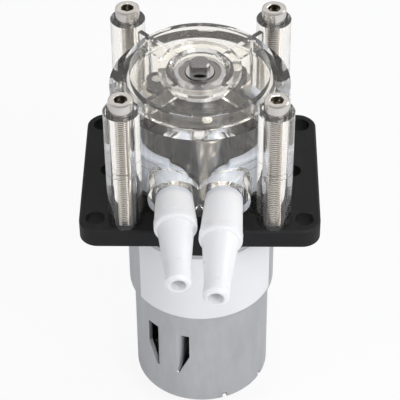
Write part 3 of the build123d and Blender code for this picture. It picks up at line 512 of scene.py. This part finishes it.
def screw_mesh(top, tip):
    """One socket-head screw on the Z axis, as rings from the socket's bottom round to the tip."""
    head_low = top - HEAD_HEIGHT
    rings = [
        (top - SOCKET_DEPTH, hexagon(0.5 * SOCKET_HALF)),
        (top - SOCKET_DEPTH + SOCKET_FLOOR_RISE, hexagon(SOCKET_HALF)),
        (top - SOCKET_CHAMFER, hexagon(SOCKET_HALF)),
        (top, hexagon(SOCKET_HALF + SOCKET_CHAMFER)),
        (top, circle(HEAD_RADIUS - HEAD_BEVEL)),
        (top - BEVEL_MIDDLE_DROP, circle(HEAD_RADIUS - BEVEL_MIDDLE_INSET)),
        (top - HEAD_BEVEL, circle(HEAD_RADIUS)),
        (head_low + HEAD_FOOT_BEVEL, circle(HEAD_RADIUS)),
        (head_low, circle(HEAD_RADIUS - HEAD_FOOT_BEVEL)),
        (head_low, circle(THREAD_RADIUS + SHANK_OVERSIZE)),
    ]
    step = THREAD_PITCH / STEPS_PER_TURN
    for i in range(int((head_low - SHANK_LENGTH - tip - TIP_LENGTH) / step)):
        z = head_low - SHANK_LENGTH - i * step
        rings.append((z, thread(z)))
    rings.append((tip, circle(THREAD_ROOT - TIP_TAPER)))
    mesh = bmesh.new()
    loops = []
    for z, radius in rings:
        loop = []
        for k in range(SCREW_SIDES):
            angle = 2 * math.pi * k / SCREW_SIDES
            reach = radius(angle)
            loop.append(mesh.verts.new((reach * math.cos(angle), reach * math.sin(angle), z)))
        loops.append(loop)
    skin_over(mesh, loops)
    bmesh.ops.recalc_face_normals(mesh, faces=mesh.faces)
    return to_data(mesh, "screw")


screw_low, screw_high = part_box("housing_screws")
screw_data = screw_mesh(screw_high.z, screw_low.z)
smooth_by_angle(screw_data, SCREW_SHARP_ANGLE)
screw_centre = screw_high.x - HEAD_RADIUS
THREADS_WITH_PAINTED_SHADE = nickel_with_painted_thread_shade(screw_centre, THREAD_ROOT, THREAD_RADIUS)
for index, (sx, sy) in enumerate(((-1, -1), (1, -1), (-1, 1), (1, 1))):
    data = screw_data.copy()
    turn = Matrix.Rotation(math.radians(FIRST_HEAD_TURN + NEXT_HEAD_TURN * index), 4, "Z")
    data.transform(Matrix.Translation((sx * screw_centre, sy * screw_centre, 0)) @ turn)
    screw = add_piece(f"housing_screw_{index + 1}", data, THREADS_WITH_PAINTED_SHADE)
    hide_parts("housing_screws")


# ---------------------------------------------------------------- louvres bent in at the can's vents
can_low, can_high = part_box("motor_can")
CAN_RADIUS = can_high.x
VENT_BOTTOM = can_low.z + 11.5 * MM
VENT_TOP = can_low.z + 28.6 * MM
VENT_POINT = 7.8 * MM  # the height that the vent's slanted end takes
VENT_HALF_ANGLE = 6.1
VENTS = ((-135.0, 1), (-106.0, -1), (45.0, 1), (74.0, -1))  # each one's middle, and the side of its hinge
LOUVRE_SHEET = 0.5 * MM
LOUVRE_SINK = 0.1 * MM  # how far the hinge lies under the can's skin
LOUVRE_DEPTH = 3.6 * MM
LOUVRE_BEND = 1.4  # above 1, the tab leaves the skin gently before it turns in
LOUVRE_SHARE = 0.8  # of the vent's width; the rest stays open
LOUVRE_HINGE = 1.04  # the hinge's place, in half widths from the vent's middle: just past the edge
LOUVRE_SQUARE_PART = 0.25  # share of the tab that keeps its full height
LOUVRE_COLUMNS = 10


def louvre_mesh():
    """A curved tab behind each vent: flush with the skin at the vent's long side, and bent in from there."""
    mesh = bmesh.new()
    for middle, hinge in VENTS:
        columns = []
        for i in range(LOUVRE_COLUMNS + 1):
            across = i / LOUVRE_COLUMNS
            turned = VENT_HALF_ANGLE * (LOUVRE_HINGE - 2 * LOUVRE_SHARE * across)
            angle = math.radians(middle + hinge * turned)
            outer = CAN_RADIUS - LOUVRE_SINK - LOUVRE_DEPTH * across**LOUVRE_BEND
            inner = outer - LOUVRE_SHEET
            low = VENT_BOTTOM + VENT_POINT * max(0.0, across - LOUVRE_SQUARE_PART)
            corners = ((outer, VENT_TOP), (outer, low), (inner, low), (inner, VENT_TOP))
            column = []
            for reach, z in corners:
                column.append(mesh.verts.new((reach * math.cos(angle), reach * math.sin(angle), z)))
            columns.append(column)
        skin_over(mesh, columns)
    bmesh.ops.recalc_face_normals(mesh, faces=mesh.faces)
    return to_data(mesh, "vent_louvres")


louvre_data = louvre_mesh()
smooth_by_angle(louvre_data, SHARP_ANGLE)
add_piece("vent_louvres", louvre_data, ZINC)


# ---------------------------------------------------------------- soft tube
TUBE_GRID = 0.4 * MM
TUBE_RELAX_ROUNDS = 6


def soft_copy(node, grid, rounds):
    """A node's solid as one soft skin: remeshed on a fine grid, then relaxed."""
    source = add_object(f"{node}_work", nodes[node].data.copy())
    remesh = source.modifiers.new("remesh", "REMESH")
    remesh.mode = "VOXEL"
    remesh.voxel_size = grid
    relax = source.modifiers.new("relax", "SMOOTH")
    relax.factor = 0.5
    relax.iterations = rounds
    data = modified(source)
    for face in data.polygons:
        face.use_smooth = True
    return data


tube = add_piece("silicone_tube", soft_copy("pump_tube", TUBE_GRID, TUBE_RELAX_ROUNDS), TUBE)
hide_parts("pump_tube")


# ---------------------------------------------------------------- clear shell
# The two halves are pressed together so tightly that light crosses the joint, so they are drawn as one
# shell, and the material marks the fine groove where they part.
WELD = 0.001 * MM


def closed_copy(node):
    """A node as a new object, with its split corners welded, so that it is a closed solid."""
    mesh = bmesh.new()
    mesh.from_mesh(nodes[node].data)
    bmesh.ops.remove_doubles(mesh, verts=mesh.verts, dist=WELD)
    data = to_data(mesh, f"{node}_closed")
    if "custom_normal" in data.attributes:
        data.attributes.remove(data.attributes["custom_normal"])
    return add_object(f"{node}_closed", data)


def joined_shell(lower, upper):
    """Both housing halves as one closed skin."""
    low_half = closed_copy(lower)
    high_half = closed_copy(upper)
    union = low_half.modifiers.new("union", "BOOLEAN")
    union.operation = "UNION"
    union.solver = "MANIFOLD"
    union.object = high_half
    data = modified(low_half)
    bpy.data.objects.remove(high_half)
    mesh = bmesh.new()
    mesh.from_mesh(data)
    bmesh.ops.remove_doubles(mesh, verts=mesh.verts, dist=2 * WELD)
    bmesh.ops.dissolve_degenerate(mesh, dist=WELD, edges=mesh.edges)
    mesh.to_mesh(data)
    mesh.free()
    return data


shell_data = joined_shell("lower_housing", "upper_housing")
smooth_by_angle(shell_data, SHARP_ANGLE)
shell = add_piece("clear_shell", shell_data, CLEAR)
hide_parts("lower_housing", "upper_housing")


# ---------------------------------------------------------------- floor
FLOOR_GAP = 0.2 * MM
FLOOR_REACH = 3.0
FLOOR_GLOW = 0.9  # share of plain white that the floor shows to the camera, also through the clear housing


def floor_material():
    """Pale floor that shows the camera little but white, and lights the pump as a matt sheet would."""
    material, tree, shader = new_material("floor", (0.92, 0.92, 0.92), 0.8)
    glow = tree.nodes.new("ShaderNodeEmission")
    glow.inputs["Color"].default_value = (1.0, 1.0, 1.0, 1.0)
    path = tree.nodes.new("ShaderNodeLightPath")
    straight, through = path.outputs["Is Camera Ray"], path.outputs["Is Transmission Ray"]
    seen = calculate(tree, "ADD", straight, through, clamp=True)
    share = calculate(tree, "MULTIPLY", seen, FLOOR_GLOW)
    shown = mix_shaders(tree, share, shader.outputs["BSDF"], glow.outputs["Emission"])
    tree.links.new(shown, tree.nodes["Material Output"].inputs["Surface"])
    return material


floor_z = cad_low.z - FLOOR_GAP
corners = []
for sx, sy in ((-1, -1), (1, -1), (1, 1), (-1, 1)):
    corners.append((sx * FLOOR_REACH, sy * FLOOR_REACH, floor_z))
floor_data = bpy.data.meshes.new("floor")
floor_data.from_pydata(corners, [], [(0, 1, 2, 3)])
floor = add_object("floor", floor_data)
paint(floor, floor_material())


# ---------------------------------------------------------------- surroundings
# Grey levels by direction, from straight down at 0 to straight up at 1, with the horizon at 0.5.
REFLECTED_ENDS = (0.35, 0.5)
REFLECTED_LEVELS = ((0.3, 0.5), (0.46, 0.2), (0.55, 0.4), (0.7, 0.8), (0.83, 0.88), (0.95, 0.5))
REFLECTED_CAST = (1, 0.985, 0.96)
PASSED_ENDS = (0.9, 0.85)
PASSED_LEVELS = ((0.48, 0.9), (0.52, 0.45), (0.57, 0.55), (0.62, 0.95), (0.9, 1.0))
PASSED_CAST = (1, 0.99, 0.97)


def background(tree, color, strength=1.0):
    """An even background, or one that a colour output gives."""
    node = tree.nodes.new("ShaderNodeBackground")
    node.inputs["Strength"].default_value = strength
    if isinstance(color, tuple):
        node.inputs["Color"].default_value = (*color, 1.0)
    else:
        tree.links.new(color, node.inputs["Color"])
    return node.outputs["Background"]


def by_height(tree, height, ends, levels, cast):
    """Grey levels by height: neutral at both ends, with a colour cast between them."""
    stops = [(0.0, (ends[0],) * 3)]
    stops += [(position, tuple(level * share for share in cast)) for position, level in levels]
    stops.append((1.0, (ends[1],) * 3))
    return ramp(tree, height, stops)


world = bpy.data.worlds.new("studio")
bpy.context.scene.world = world
world.use_nodes = True
sky = world.node_tree
sky.nodes.clear()
direction = sky.nodes.new("ShaderNodeTexCoord")
height = rescale(sky, coordinate(sky, direction.outputs["Generated"], "Z"), -1.0, 1.0)
reflected = background(sky, by_height(sky, height, REFLECTED_ENDS, REFLECTED_LEVELS, REFLECTED_CAST))
passed = background(sky, by_height(sky, height, PASSED_ENDS, PASSED_LEVELS, PASSED_CAST))
plain = background(sky, (1.0, 1.0, 1.0))
path = sky.nodes.new("ShaderNodeLightPath")
shown = background(sky, (0.93, 0.95, 1.0), strength=0.38)
shown = mix_shaders(sky, path.outputs["Is Glossy Ray"], shown, reflected)
shown = mix_shaders(sky, path.outputs["Is Transmission Ray"], shown, passed)
shown = mix_shaders(sky, path.outputs["Is Camera Ray"], shown, plain)
world_output = sky.nodes.new("ShaderNodeOutputWorld")
sky.links.new(shown, world_output.inputs["Surface"])


# ---------------------------------------------------------------- lamps
# Name, place, side of the square in metres, and power in watts.
LAMPS = (
    ("key", (0.45, -0.6, 0.65), 0.5, 4.5),
    ("fill", (-0.6, -0.4, 0.4), 0.5, 1.0),
    ("side", (0.8, 0.3, 0.5), 0.6, 2.5),
)


def soft_lamp(name, position, size, power):
    """A large square lamp, aimed at the part's origin."""
    data = bpy.data.lights.new(name, "AREA")
    data.size = size
    data.energy = power
    lamp = add_object(name, data)
    lamp.location = position
    lamp.rotation_euler = (-Vector(position)).to_track_quat("-Z", "Y").to_euler()


for lamp_facts in LAMPS:
    soft_lamp(*lamp_facts)


# ---------------------------------------------------------------- camera
# Its place, direction and lens come from a perspective solve of the photograph.
CAMERA_PLACE = (0.00711, -0.40596, 0.35741)
VIEW_FORWARD = Vector((-0.013524, 0.74501, -0.66692))
VIEW_RIGHT = Vector((0.99984, 0.01815, 0.0))
VIEW_ROLL = math.radians(-0.46)
LENS = 161.14
SENSOR_WIDTH = 36.0
NEAR_CLIP = 0.01

camera_data = bpy.data.cameras.new("camera")
camera_data.sensor_width = SENSOR_WIDTH
camera_data.lens = LENS
camera_data.clip_start = NEAR_CLIP
camera = add_object("camera", camera_data)
view_up = VIEW_RIGHT.cross(VIEW_FORWARD).normalized()
camera_x = (VIEW_RIGHT * math.cos(VIEW_ROLL) + view_up * math.sin(VIEW_ROLL)).normalized()
camera_y = (view_up * math.cos(VIEW_ROLL) - VIEW_RIGHT * math.sin(VIEW_ROLL)).normalized()
camera_z = -VIEW_FORWARD.normalized()
camera_turn = Matrix((camera_x, camera_y, camera_z)).transposed().to_4x4()
camera.matrix_world = Matrix.Translation(CAMERA_PLACE) @ camera_turn
bpy.context.scene.camera = camera
bpy.context.scene.view_settings.view_transform = "Standard"
# A ray crosses a dozen walls of clear plastic before it gets out, so it is followed that far.
bpy.context.scene.cycles.max_bounces = 32
bpy.context.scene.cycles.transmission_bounces = 32
bpy.context.scene.cycles.glossy_bounces = 12
